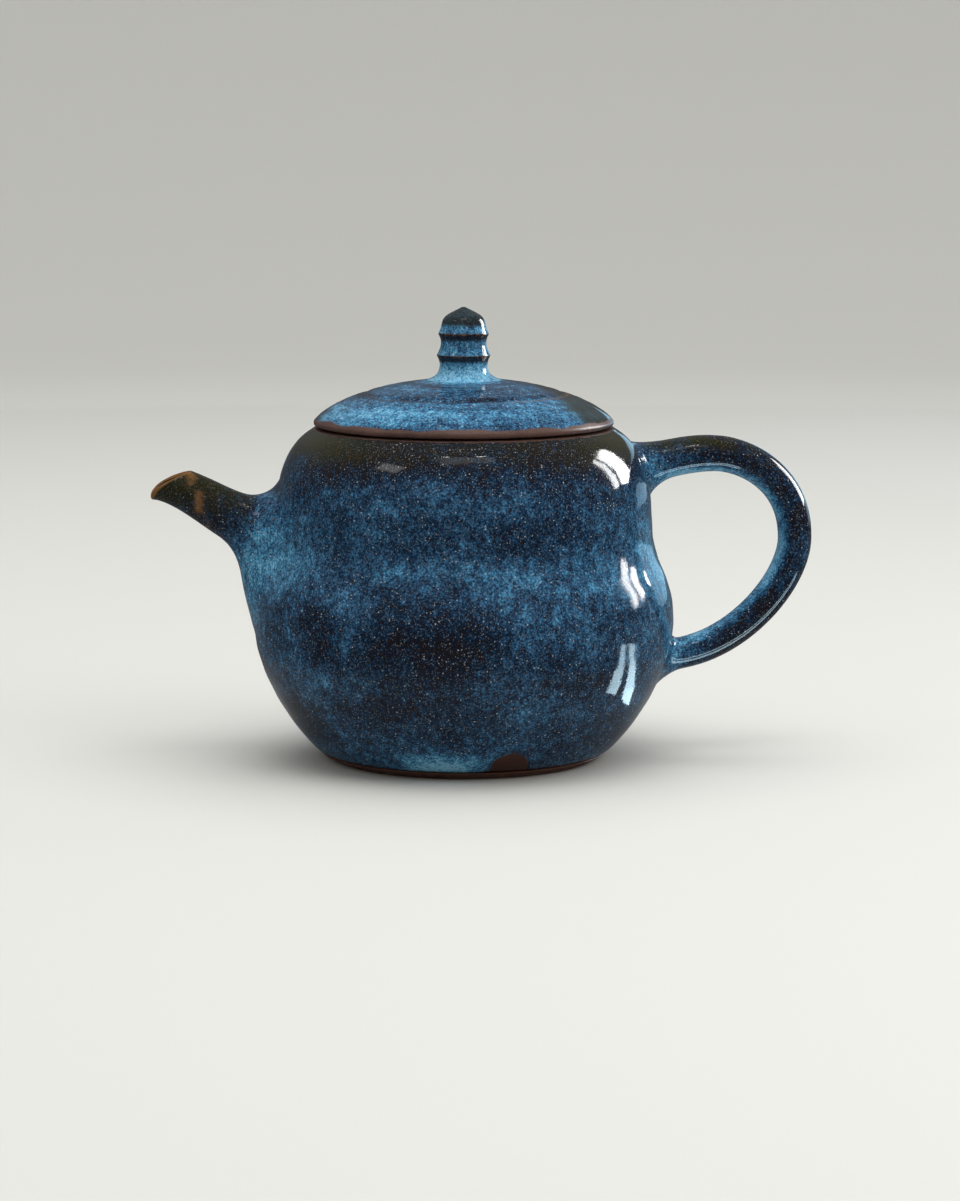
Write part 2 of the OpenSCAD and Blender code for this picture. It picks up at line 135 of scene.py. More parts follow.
class TeapotLight(bpy.types.PropertyGroup):
    """The studio"""
    room: FloatProperty(name="Room light", description="Strength of the light from all round", default=0.50,
                        min=0, max=2)
    ceiling: FloatProperty(name="Ceiling light", description="Power of the soft light overhead", default=26,
                           min=0, max=100, unit='POWER')
    window: FloatProperty(name="Window light", description="Power of each square metre of window", default=56,
                          min=0, max=200, unit='POWER')
    paper: colour_property("Paper", "Colour of the floor and the backdrop", (0.60, 0.60, 0.57))


def sizes():
    return bpy.context.scene.teapot_sizes


def colours():
    return bpy.context.scene.teapot_colours


# ---- reading the frame ----

class Turned:
    """A turned CAD node, measured beside the plane through the spout and the handle, on the handle's side"""

    BESIDE = 0.3 * MM
    FAR = 0.3

    def __init__(self, node):
        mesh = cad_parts[node].data
        self.name = node
        self.skin = BVHTree.FromPolygons([v.co for v in mesh.vertices], [p.vertices for p in mesh.polygons])

    def first_hit(self, start, along):
        hit = self.skin.ray_cast(Vector(start), Vector(along))[0]
        if hit is None:
            raise RuntimeError(f"{self.name} isn't where it was looked for, at {start}")
        return hit

    def radius(self, height):
        return self.first_hit((self.FAR, self.BESIDE, height), (-1, 0, 0)).xy.length

    def inner_radius(self, height):
        return self.first_hit((0, self.BESIDE, height), (1, 0, 0)).xy.length

    def top(self, radius):
        return self.first_hit((radius, self.BESIDE, self.FAR), (0, 0, -1)).z

    def underside(self, radius):
        return self.first_hit((radius, self.BESIDE, -self.FAR), (0, 0, 1)).z


def between(low, high, share):
    return low + (high - low) * share


def steps(low, high, count):
    """count values, evenly from low to high"""
    return [between(low, high, i / (count - 1)) for i in range(count)]


# ---- shaping ----

def nothing_selected():
    if bpy.context.mode != 'OBJECT':
        bpy.ops.object.mode_set(mode='OBJECT')
    bpy.ops.object.select_all(action='DESELECT')


def only(piece):
    nothing_selected()
    piece.select_set(True)
    bpy.context.view_layer.objects.active = piece


def apply_modifier(piece, kind, **settings):
    only(piece)
    bpy.ops.object.modifier_add(type=kind)
    modifier = piece.modifiers[-1]
    for key, value in settings.items():
        setattr(modifier, key, value)
    bpy.ops.object.modifier_apply(modifier=modifier.name)


def in_order(piece):
    """Puts the points and faces in a set order. Extrude lists its faces in another order at each run, and
    what is made from them would differ in the last digit."""
    mesh = piece.data
    points = [tuple(vertex.co) for vertex in mesh.vertices]
    order = sorted(range(len(points)), key=lambda i: points[i])
    place = {old: new for new, old in enumerate(order)}
    faces = []
    for polygon in mesh.polygons:
        corners = [place[i] for i in polygon.vertices]
        first = corners.index(min(corners))
        faces.append(corners[first:] + corners[:first])
    mesh.clear_geometry()
    mesh.from_pydata([points[i] for i in order], [], sorted(faces))
    mesh.update()


def smoothed(piece):
    apply_modifier(piece, 'SUBSURF', levels=1, render_levels=1, use_limit_surface=False)
    bpy.ops.object.shade_smooth()


def start_ring(name, sides, ring, fill='NOTHING'):
    """Opens a new piece with a ring of corners at that (radius, height), all of it selected"""
    radius, height = ring
    nothing_selected()
    bpy.ops.mesh.primitive_circle_add(vertices=sides, radius=radius, fill_type=fill, location=(0, 0, 0))
    piece = bpy.context.active_object
    piece.name = piece.data.name = name
    bpy.ops.object.mode_set(mode='EDIT')
    bpy.ops.mesh.select_all(action='SELECT')
    bpy.ops.transform.translate(value=(0, 0, height))
    return piece


def pull_up(rings):
    """Extrudes the selected ring of edges, which stands at the first (radius, height), through the others"""
    for (radius, height), (next_radius, next_height) in zip(rings, rings[1:]):
        bpy.ops.mesh.extrude_edges_move(TRANSFORM_OT_translate={"value": (0, 0, next_height - height)})
        share = next_radius / radius
        bpy.ops.transform.resize(value=(share, share, 1), center_override=(0, 0, next_height))


def throw(name, rings, ring_shaped=False):
    """Pulls a ring of corners from one (radius, height) to the next, as clay is pulled up on the wheel.
    A ring_shaped piece ends where it began. Any other is closed by a face at each end."""
    piece = start_ring(name, sizes().sides, rings[0])
    if not ring_shaped:
        bpy.ops.mesh.edge_face_add()
        bpy.ops.mesh.select_mode(type='EDGE')
    pull_up(rings + rings[:1] if ring_shaped else rings)
    if ring_shaped:
        bpy.ops.mesh.select_all(action='SELECT')
        bpy.ops.mesh.remove_doubles(threshold=WELD)
    else:
        bpy.ops.mesh.edge_face_add()
    bpy.ops.mesh.select_all(action='SELECT')
    bpy.ops.mesh.normals_make_consistent(inside=False)
    bpy.ops.object.mode_set(mode='OBJECT')
    in_order(piece)
    smoothed(piece)
    return piece


def copied(node, name):
    """A copy of a CAD node's skin with its loose triangles merged into quads"""
    nothing_selected()
    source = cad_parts[node]
    piece = bpy.data.objects.new(name, source.data.copy())
    piece.data.name = name
    bpy.context.scene.collection.objects.link(piece)
    only(piece)
    bpy.ops.object.mode_set(mode='EDIT')
    bpy.ops.mesh.select_all(action='SELECT')
    bpy.ops.mesh.customdata_custom_splitnormals_clear()
    bpy.ops.mesh.remove_doubles(threshold=WELD)
    bpy.ops.mesh.tris_convert_to_quads(face_threshold=MERGE_ANGLE, shape_threshold=MERGE_ANGLE)
    bpy.ops.mesh.normals_make_consistent(inside=False)
    bpy.ops.object.mode_set(mode='OBJECT')
    piece.data.materials.clear()
    return piece


def bored(piece, radius, start, end):
    """Cuts a round hole through a piece from one point to another"""
    nothing_selected()
    axis = Vector(end) - Vector(start)
    bpy.ops.mesh.primitive_cylinder_add(vertices=DRILL_SIDES, radius=radius, depth=axis.length,
                                        location=(Vector(start) + Vector(end)) / 2,
                                        rotation=axis.to_track_quat('Z', 'Y').to_euler())
    drill = bpy.context.active_object
    apply_modifier(piece, 'BOOLEAN', operation='DIFFERENCE', solver='EXACT', object=drill)
    bpy.data.objects.remove(drill)


def mesh_arrays(piece):
    mesh = piece.data
    points = numpy.empty(len(mesh.vertices) * 3)
    normals = numpy.empty(len(mesh.vertices) * 3)
    edges = numpy.empty(len(mesh.edges) * 2, dtype=numpy.int64)
    mesh.vertices.foreach_get("co", points)
    mesh.vertices.foreach_get("normal", normals)
    mesh.edges.foreach_get("vertices", edges)
    return points.reshape(-1, 3), normals.reshape(-1, 3), edges.reshape(-1, 2)


def store(piece, name, values):
    layer = piece.data.attributes.new(name, 'FLOAT', 'POINT')
    layer.data.foreach_set("value", numpy.asarray(values, dtype=numpy.float32))


def mark_edges(piece):
    """Stores how sharply the skin bends at each point, so that the glaze can run thin on edges"""
    points, normals, edges = mesh_arrays(piece)
    a, b = edges[:, 0], edges[:, 1]
    count = numpy.bincount(edges.ravel(), minlength=len(points)).astype(float)

    def neighbours(values):
        total = numpy.zeros_like(values)
        numpy.add.at(total, a, values[b])
        numpy.add.at(total, b, values[a])
        return total / (count[:, None] if values.ndim == 2 else count)

    length_sq = ((points[a] - points[b]) ** 2).sum(axis=1)
    mean_sq = numpy.zeros(len(points))
    numpy.add.at(mean_sq, a, length_sq)
    numpy.add.at(mean_sq, b, length_sq)
    mean_sq /= count
    bend = 2 * ((points - neighbours(points)) * normals).sum(axis=1) / mean_sq / FULL_BEND
    for _ in range(EDGE_PASSES):
        bend = (bend + neighbours(bend)) / 2
    store(piece, "edge", numpy.clip(bend, -1, 1))


def settled(piece, wall):
    """Presses what lies close to the wall a little into it and shades it as the wall, so that no seam is left,
    and stores how far each point has come away from the wall"""
    low, high = FOOT_TOP + 0.3 * MM, WALL_TOP - 0.3 * MM
    mesh = piece.data
    normals, reach = [], []
    for vertex in mesh.vertices:
        height = min(max(vertex.co.z, low), high)
        radius = wall.radius(height)
        lift = vertex.co.xy.length - radius
        out = vertex.co.xy.normalized()
        lean = (wall.radius(height + LEAN_STEP) - wall.radius(height - LEAN_STEP)) / (2 * LEAN_STEP)
        share = min(1, max(0, 1.15 - lift / SEAM_REACH))
        share = share * share * (3 - 2 * share)
        normals.append(vertex.normal.lerp(Vector((out.x, out.y, -lean)).normalized(), share).normalized())
        reach.append(min(1, max(0, lift / FREE)))
        if -1 * MM < lift < LUTE_REACH:
            press = LUTE_DEPTH * (1 - max(lift, 0) / LUTE_REACH) ** 2
            vertex.co.x -= out.x * press
            vertex.co.y -= out.y * press
    mesh.normals_split_custom_set_from_vertices(normals)
    store(piece, "reach", reach)


def creased(piece, keep):
    """Keeps sharp edges crisp, where keep says so of their middle"""
    only(piece)
    bpy.ops.object.mode_set(mode='EDIT')
    bpy.ops.mesh.select_mode(type='EDGE')
    bpy.ops.mesh.select_all(action='DESELECT')
    bpy.ops.mesh.edges_select_sharp(sharpness=CREASE_ANGLE)
    shape = bmesh.from_edit_mesh(piece.data)
    crease = shape.edges.layers.float.get("crease_edge") or shape.edges.layers.float.new("crease_edge")
    for edge in shape.edges:
        if edge.select and keep((edge.verts[0].co + edge.verts[1].co) / 2):
            edge[crease] = 1
    bmesh.update_edit_mesh(piece.data)
    bpy.ops.object.mode_set(mode='OBJECT')


def luted(node, name, keep):
    """A copy of a CAD node, smoothed and joined to the wall of the pot"""
    piece = copied(node, name)
    creased(piece, keep)
    smoothed(piece)
    settled(piece, Turned("body"))
    return piece


# ---- glazes ----

class Recipe:
    """The nodes of one material, put together in the order in which a potter lays on the glaze"""

    def __init__(self, name):
        self.material = bpy.data.materials.new(name)
        self.material.use_nodes = True
        self.tree = self.material.node_tree
        self.shader = self.tree.nodes["Principled BSDF"]
        self.place = self.add("ShaderNodeTexCoord").outputs["Object"]
        parts = self.add("ShaderNodeSeparateXYZ")
        self.put(parts.inputs[0], self.place)
        self.x, self.y, self.z = parts.outputs

    def add(self, kind, **settings):
        node = self.tree.nodes.new(kind)
        for key, value in settings.items():
            setattr(node, key, value)
        return node

    def put(self, socket, value):
        if isinstance(value, bpy.types.NodeSocket):
            self.tree.links.new(value, socket)
        elif socket.type == 'RGBA' and len(value) == 3:
            socket.default_value = (*value, 1)
        else:
            socket.default_value = value

    def math(self, operation, a, b=0.0):
        node = self.add("ShaderNodeMath", operation=operation)
        self.put(node.inputs[0], a)
        self.put(node.inputs[1], b)
        return node.outputs[0]

    def sum(self, first, *rest):
        for value in rest:
            first = self.math('ADD', first, value)
        return first

    def times(self, first, *rest):
        for value in rest:
            first = self.math('MULTIPLY', first, value)
        return first

    def fade(self, value, low, high, at_low=0.0, at_high=1.0):
        """Runs smoothly from at_low to at_high while value runs from low to high"""
        node = self.add("ShaderNodeMapRange", interpolation_type='SMOOTHSTEP')
        for socket, setting in zip(node.inputs, (value, low, high, at_low, at_high)):
            self.put(socket, setting)
        return node.outputs[0]

    def fall(self, value, low, high):
        """1 below low, 0 above high"""
        return self.fade(value, low, high, 1.0, 0.0)

    def band(self, value, middle, reach):
        """1 in the middle, 0 a reach away from it on either side"""
        return self.fall(self.math('ABSOLUTE', self.math('SUBTRACT', value, middle)), 0.0, reach)

    def placed(self, stretch=(1, 1, 1), shift=(0, 0, 0)):
        node = self.add("ShaderNodeMapping")
        self.put(node.inputs["Vector"], self.place)
        self.put(node.inputs["Location"], shift)
        self.put(node.inputs["Scale"], stretch)
        return node.outputs[0]

    def noise(self, size, detail=2.0, roughness=0.5, stretch=(1, 1, 1), shift=(0, 0, 0), place=None):
        """Clouds of about that size in metres, around 0.5"""
        node = self.add("ShaderNodeTexNoise")
        self.put(node.inputs["Vector"], place or self.placed(stretch, shift))
        self.put(node.inputs["Scale"], 1 / size)
        self.put(node.inputs["Detail"], detail)
        self.put(node.inputs["Roughness"], roughness)
        return node.outputs[0]

    def specks(self, spacing, size, shift=(0, 0, 0)):
        """Round specks strewn about a spacing apart, 1 in their middle, and a lot from 0 to 1 for each"""
        node = self.add("ShaderNodeTexVoronoi")
        self.put(node.inputs["Vector"], self.placed(shift=shift))
        self.put(node.inputs["Scale"], 1 / spacing)
        lot = self.add("ShaderNodeSeparateXYZ")
        self.put(lot.inputs[0], node.outputs["Color"])
        speck = self.fall(node.outputs["Distance"], 0.3 * size / spacing, size / spacing)
        return speck, lot.outputs[0]

    def swing(self, value, amount):
        """A cloud's value about 0, with that strength"""
        return self.times(self.math('SUBTRACT', value, 0.5), amount)

    def near(self, point, reach, stretch=(1, 1, 1)):
        """1 at a point, 0 a reach away from it, with a soft edge"""
        node = self.add("ShaderNodeVectorMath", operation='SUBTRACT')
        self.put(node.inputs[0], self.place)
        self.put(node.inputs[1], point)
        scaled = self.add("ShaderNodeVectorMath", operation='MULTIPLY')
        self.put(scaled.inputs[0], node.outputs[0])
        self.put(scaled.inputs[1], stretch)
        length = self.add("ShaderNodeVectorMath", operation='LENGTH')
        self.put(length.inputs[0], scaled.outputs[0])
        return self.fall(length.outputs["Value"], 0.25 * reach, reach)

    def from_axis(self):
        """Distance from the axis of the pot"""
        return self.math('SQRT', self.sum(self.times(self.x, self.x), self.times(self.y, self.y)))

    def uneven(self, value, size, amount, detail=3.0):
        """A value made ragged by that amount, so that what follows it has no straight edge"""
        return self.sum(value, self.swing(self.noise(size, detail=detail), amount))

    def attribute(self, name):
        return self.add("ShaderNodeAttribute", attribute_name=name).outputs["Fac"]

    def blend(self, share, under, over):
        node = self.add("ShaderNodeMix", data_type='RGBA')
        self.put(node.inputs[0], share)
        self.put(node.inputs[6], under)
        self.put(node.inputs[7], over)
        return node.outputs[2]

    def ramp(self, value, stops):
        node = self.add("ShaderNodeValToRGB")
        bar = node.color_ramp
        while len(bar.elements) < len(stops):
            bar.elements.new(1)
        for element, (position, colour) in zip(bar.elements, stops):
            element.position = position
            element.color = (*colour, 1)
        self.put(node.inputs[0], value)
        return node.outputs[0]

    def bump(self, height, distance, under=None):
        node = self.add("ShaderNodeBump")
        self.put(node.inputs["Strength"], 1.0)
        self.put(node.inputs["Distance"], distance)
        self.put(node.inputs["Height"], height)
        if under:
            self.put(node.inputs["Normal"], under)
        return node.outputs[0]


POT_LEVEL = 0.40
LID_LEVEL = 0.51
KNOB_LEVEL = 0.70
GLAZE_IOR = 1.38
ARCH_POWER = 2.6                       # roundness of the bare arch
PATCH_BEARING = math.radians(-78)      # where the bare arch stands on the foot
HANDLE_EYE = (77 * MM, 0, 62 * MM)     # middle of the finger gap
# Where the glaze lies thicker or, below 0, thinner, and on the handle's side also painted light: middle and
# reach in mm, stretch, share
PLACES = (
    ((-62, 0, 58), 30, (1, 1, 1), 0.24),
    ((-50, -26, 60), 20, (1, 1, 1), 0.12),
    # These four rows, on the handle's side, are thicker glaze at the handle's roots and painted light: a
    # brighter blue over the side that the light comes from
    ((56, -10, 62), 34, (1, 1, 1), 0.26),
    ((60, 0, 87), 20, (1, 1, 1), 0.24),
    ((52, -26, 34), 28, (1, 1, 1), 0.20),
    ((63, 0, 30), 18, (1, 1, 1), 0.24),
    ((-16, -62, 45), 26, (0.8, 1, 1.25), -0.28),
    ((-46, -42, 44), 13, (1, 1, 1), -0.28),
)


def mottle(recipe):
    """The close mottle of the glaze, about 0"""
    fine = recipe.noise(0.62 * MM, roughness=0.6)
    soft = recipe.noise(2.3 * MM, detail=3.0, roughness=0.6, stretch=(1, 1, 0.75))
    return recipe.sum(recipe.swing(fine, 1.15), recipe.swing(soft, 0.80))


def foot_share(recipe):
    """1 on the clay that the glaze stops short of at the foot"""
    return recipe.fall(recipe.uneven(recipe.z, 7 * MM, 2.4 * MM), 0.9 * MM, 1.7 * MM)


def glaze(name, level, depth=1.0, cloudy=1.0):
    """The dark blue glaze. level says how thick it lies on this piece, depth how strong its mottle is and
    cloudy how strong its clouds are. Everything else follows the place on the pot, so that the glaze runs on
    from one piece to the next."""
    recipe = Recipe(name)
    drift = recipe.noise(40 * MM, stretch=(0.8, 0.8, 1.5), shift=(0.013, 0.04, 0.02))
    bands = recipe.noise(11 * MM, stretch=(0.22, 0.22, 1.0), shift=(0.3, 0.1, 0.05))
    clouds = recipe.noise(14 * MM, detail=4.0, roughness=0.6, stretch=(1, 1, 1.2), shift=(0.07, 0.02, 0.11))
    amount = recipe.sum(
        level,
        recipe.swing(drift, 0.70 * cloudy), recipe.swing(bands, 0.26), recipe.swing(clouds, 0.50 * cloudy),
        recipe.times(recipe.band(recipe.z, 60 * MM, 13 * MM), 0.13),
        *(recipe.times(recipe.near([part * MM for part in middle], reach * MM, stretch), share)
          for middle, reach, stretch, share in PLACES),
        recipe.times(recipe.fall(recipe.z, 3 * MM, 13 * MM), 0.16),
        recipe.times(recipe.near((-10 * MM, -42 * MM, 2 * MM), 16 * MM), 0.36),
        recipe.times(mottle(recipe), depth),
    )
    return recipe, amount


def glaze_colour(recipe, amount):
    """From brown-black, where the glaze is thinnest, to pale blue, strewn with grey and white crystals"""
    c = colours()
    colour = recipe.ramp(amount, (
        (0.02, c.char), (0.20, c.ink), (0.40, c.navy), (0.60, c.blue), (0.80, c.sky), (1.0, c.pale)))
    dust, lot = recipe.specks(0.62 * MM, 0.27 * MM)
    colour = recipe.blend(recipe.times(dust, recipe.fade(lot, 0.1, 0.9, 0.15, 0.85)), colour, c.dust)
    star, lot = recipe.specks(1.05 * MM, 0.25 * MM, shift=(0.011, 0.017, 0.005))
    return recipe.blend(recipe.times(star, recipe.fade(lot, 0.45, 1.0, 0.0, 0.8)), colour, c.star)


def finish_glaze(recipe, colour, bare=None):
    """Gloss, the ripple of a thick glaze, and the dry clay where it is bare"""
    wave = recipe.noise(9 * MM, detail=1.0, stretch=(1, 1, 1.3))
    peel = recipe.noise(1.6 * MM)
    grit, _ = recipe.specks(1.1 * MM, 0.35 * MM)
    normal = recipe.bump(wave, 0.10 * MM)
    normal = recipe.bump(peel, 0.018 * MM, normal)
    normal = recipe.bump(grit, 0.006 * MM, normal)
    recipe.put(recipe.shader.inputs["Normal"], normal)
    rough = recipe.fade(recipe.noise(18 * MM, detail=3.0), 0.35, 0.65, 0.05, 0.11)
    if bare:
        rough = recipe.sum(rough, recipe.times(bare, 0.26))
    recipe.put(recipe.shader.inputs["Roughness"], rough)
    recipe.put(recipe.shader.inputs["IOR"], GLAZE_IOR)
    recipe.put(recipe.shader.inputs["Base Color"], colour)
    return recipe.material


def clay_colour(recipe, colour):
    grain = recipe.noise(0.6 * MM, detail=3.0, roughness=0.7)
    toast = recipe.noise(9 * MM)
    dark = tuple(0.45 * part for part in colour)
    light = tuple(min(1, 1.5 * part) for part in colour)
    shade = recipe.sum(recipe.swing(grain, 0.9), recipe.swing(toast, 0.8), 0.5)
    return recipe.ramp(shade, ((0.1, dark), (0.5, colour), (0.95, light)))


def speckled(recipe, colour):
    """A thin part of the glaze in that colour, with grains of amber in it"""
    return recipe.blend(recipe.fade(recipe.noise(0.5 * MM), 0.45, 0.75, 0.0, 0.22),
                        colour, colours().amber)


def pot_glaze():
    """Wall and rim: olive on the shoulder, a wiped rim, and a bare arch at the foot"""
    c = colours()
    s = sizes()
    recipe, amount = glaze("pot_glaze", POT_LEVEL)
    shoulder = recipe.fade(recipe.uneven(recipe.z, 8 * MM, 8 * MM), 82 * MM, 94 * MM)
    colour = glaze_colour(recipe, recipe.sum(amount, recipe.times(shoulder, -0.22)))
    from_middle = recipe.math('ABSOLUTE', recipe.x)
    high = recipe.fade(recipe.uneven(recipe.z, 8 * MM, 6 * MM), 89 * MM, 96 * MM)
    olive = recipe.times(high, recipe.fade(from_middle, 22 * MM, 44 * MM, 0.25, 0.9))
    colour = recipe.blend(olive, colour, speckled(recipe, c.olive))
    wiped = recipe.fade(recipe.uneven(recipe.z, 5 * MM, 0.8 * MM, detail=2.0),
                        SEAT - 0.7 * MM, SEAT - 0.4 * MM)
    colour = recipe.blend(wiped, colour, clay_colour(recipe, c.edge_clay))
    across = (math.cos(PATCH_BEARING + math.pi / 2), math.sin(PATCH_BEARING + math.pi / 2))
    out = (math.cos(PATCH_BEARING), math.sin(PATCH_BEARING))
    sideways = recipe.sum(recipe.times(recipe.x, across[0] / (s.patch_width / 2)),
                          recipe.times(recipe.y, across[1] / (s.patch_width / 2)))
    outward = recipe.sum(recipe.times(recipe.x, out[0]), recipe.times(recipe.y, out[1]))
    upward = recipe.times(recipe.z, 1 / s.patch_height)
    width, height = (recipe.math('POWER', recipe.math('ABSOLUTE', value), ARCH_POWER)
                     for value in (sideways, upward))
    arch = recipe.uneven(recipe.sum(width, height), 4 * MM, 0.7, detail=2.0)
    facing = recipe.fade(outward, 0.0, 5 * MM)
    in_arch = recipe.times(recipe.fall(arch, 0.92, 1.06), facing)
    roll = recipe.times(recipe.fade(arch, 1.0, 1.15), recipe.fall(arch, 1.25, 1.7), facing, 0.5)
    colour = recipe.blend(roll, colour, c.ink)
    bare = recipe.math('MAXIMUM', foot_share(recipe), in_arch)
    colour = recipe.blend(bare, colour, clay_colour(recipe, c.clay))
    colour = recipe.blend(recipe.times(in_arch, 0.6), colour, c.char)
    return finish_glaze(recipe, colour, recipe.math('MAXIMUM', bare, wiped))


def spout_glaze():
    """Blue at the root, brown-black along the spout, an amber run across it and a thin lip"""
    c = colours()
    recipe, amount = glaze("spout_glaze", POT_LEVEL)
    along = recipe.uneven(recipe.sum(recipe.x, recipe.times(recipe.z, -0.35)), 9 * MM, 12 * MM)
    dark = recipe.times(recipe.fall(along, -92 * MM, -84 * MM),
                        recipe.fade(recipe.attribute("reach"), 0.1, 0.8))
    amount = recipe.sum(amount, recipe.times(dark, -0.28))
    colour = glaze_colour(recipe, amount)
    across = recipe.uneven(recipe.sum(recipe.x, recipe.times(recipe.z, 0.25)), 5 * MM, 5 * MM, detail=2.0)
    run = recipe.times(recipe.band(across, -60 * MM, 2.4 * MM),
                       recipe.fade(recipe.noise(4 * MM), 0.4, 0.62), dark)
    thin = recipe.fade(recipe.uneven(recipe.z, 5 * MM, 7 * MM), 68 * MM, 84 * MM)
    edge = recipe.fade(recipe.attribute("edge"), 0.25, 0.7)
    colour = recipe.blend(recipe.times(thin, dark, 0.7), colour, speckled(recipe, c.olive))
    colour = recipe.blend(recipe.times(run, 0.50), colour, c.amber)
    colour = recipe.blend(recipe.times(edge, recipe.fall(recipe.x, -80 * MM, -76 * MM), 0.62),
                          colour, c.amber)
    return finish_glaze(recipe, colour)


def handle_glaze():
    """Brown-black along the back, bright blue inside the bend and at both roots"""
    c = colours()
    recipe, amount = glaze("handle_glaze", POT_LEVEL)
    inward = recipe.attribute("inward")
    free = recipe.fade(recipe.attribute("reach"), 0.0, 1.0)
    amount = recipe.sum(amount, recipe.times(free, recipe.fade(inward, 0.1, 0.95, -0.27, 0.38)))
    colour = glaze_colour(recipe, amount)
    crest = recipe.times(recipe.fade(recipe.z, 89 * MM, 96 * MM), recipe.fall(inward, -0.9, -0.3))
    colour = recipe.blend(recipe.times(crest, recipe.fade(recipe.noise(6 * MM, detail=3.0), 0.3, 0.55), 0.85),
                          colour, speckled(recipe, c.olive))
    return finish_glaze(recipe, colour)


def lid_glaze():
    """Bright blue in rings, olive where it ran thin towards the edge, and a wiped edge"""
    c = colours()
    s = sizes()
    recipe, amount = glaze("lid_glaze", LID_LEVEL, depth=0.95, cloudy=0.45)
    radius = recipe.from_axis()
    spread = recipe.add("ShaderNodeCombineXYZ")
    recipe.put(spread.inputs[0], radius)
    recipe.put(spread.inputs[1], recipe.times(recipe.x, 0.10))
    recipe.put(spread.inputs[2], recipe.times(recipe.y, 0.10))
    broad = recipe.noise(6.5 * MM, place=spread.outputs[0])
    rings = recipe.noise(2.2 * MM, place=spread.outputs[0])
    broken = recipe.fade(recipe.noise(11 * MM), 0.4, 0.6)
    front = recipe.fall(recipe.y, -10 * MM, 10 * MM)
    amount = recipe.sum(amount, recipe.swing(broad, 0.60), recipe.swing(rings, 0.45),
                        recipe.times(recipe.band(radius, 39 * MM, 8 * MM), front, 0.09),
                        recipe.times(recipe.band(radius, s.lid_step_radius - 1 * MM, 4 * MM), broken, -0.20),
                        recipe.times(recipe.fall(radius, 9 * MM, 17 * MM), 0.16))
    colour = glaze_colour(recipe, amount)
    streak = recipe.swing(recipe.noise(14 * MM, detail=3.0, place=spread.outputs[0]), 34 * MM)
    handle_side = recipe.times(recipe.fade(recipe.x, 0.0, 32 * MM, 0.0, 20 * MM),
                               recipe.fade(recipe.y, -38 * MM, -22 * MM, 0.3, 1.0))
    outward = recipe.sum(radius, recipe.times(recipe.x, 0.15), recipe.times(recipe.y, 0.85), streak,
                         handle_side)
    thin = recipe.fade(outward, 32 * MM, 44 * MM)
    colour = recipe.blend(recipe.times(thin, 0.85), colour, speckled(recipe, c.olive))
    ridge = recipe.times(recipe.band(radius, s.lid_step_radius + 0.9 * MM, 0.9 * MM),
                         recipe.fade(recipe.x, 6 * MM, 16 * MM),
                         recipe.fade(broken, 0.0, 1.0, 0.5, 1.0), 0.75)
    colour = recipe.blend(ridge, colour, c.amber)
    wiped = recipe.fall(recipe.uneven(recipe.z, 10 * MM, 2.2 * MM), SEAT + 2.6 * MM, SEAT + 3.1 * MM)
    colour = recipe.blend(wiped, colour, clay_colour(recipe, c.edge_clay))
    return finish_glaze(recipe, colour, wiped)


def knob_glaze(ridges):
    """Blue in the hollows, brown on the ridges and painted shade, black, under them, grey-olive on the cap"""
    c = colours()
    recipe, amount = glaze("knob_glaze", KNOB_LEVEL)
    foot = recipe.fall(recipe.z, LID_TOP + 1 * MM, LID_TOP + 6 * MM)
    colour = glaze_colour(recipe, recipe.sum(amount, recipe.times(foot, 0.16)))
    brown = recipe.blend(recipe.fade(recipe.noise(1.5 * MM), 0.4, 0.7, 0.0, 0.55), c.char, c.amber)
    ragged = recipe.uneven(recipe.z, 3 * MM, 1.2 * MM)
    for ridge in ridges:
        # painted shade: a black band just under each ridge, where the ridge shades the knob below it
        under = recipe.times(recipe.fade(ragged, ridge - 2.6 * MM, ridge - 1.2 * MM),
                             recipe.fall(recipe.z, ridge, ridge + 0.2 * MM))
        colour = recipe.blend(recipe.times(under, 0.92), colour, c.char)
        colour = recipe.blend(recipe.times(recipe.band(recipe.z, ridge, 0.55 * MM), 0.9), colour, brown)
    cap = recipe.fade(recipe.z, between(LID_TOP, KNOB_TOP, 0.70), between(LID_TOP, KNOB_TOP, 0.78))
    grey = recipe.blend(recipe.fade(recipe.noise(0.6 * MM), 0.4, 0.7, 0.0, 0.14),
                        recipe.blend(0.6, c.olive, c.char), c.dust)
    colour = recipe.blend(recipe.times(cap, 0.94), colour, grey)
    return finish_glaze(recipe, colour)


def bare_clay(name):
    """Toasted, unglazed clay"""
    c = colours()
    recipe = Recipe(name)
    recipe.put(recipe.shader.inputs["Base Color"], clay_colour(recipe, c.clay))
    rough = recipe.fade(recipe.noise(4 * MM, detail=3.0), 0.3, 0.7, 0.5, 0.75)
    recipe.put(recipe.shader.inputs["Roughness"], rough)
    recipe.put(recipe.shader.inputs["Normal"], recipe.bump(recipe.noise(0.5 * MM, detail=3.0), 0.03 * MM))
    return recipe.material


def finished(piece, body, slot, material, *nodes):
    piece.data.materials.append(material)
    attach(piece, body)
    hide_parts(*nodes)


# ---- operators ----

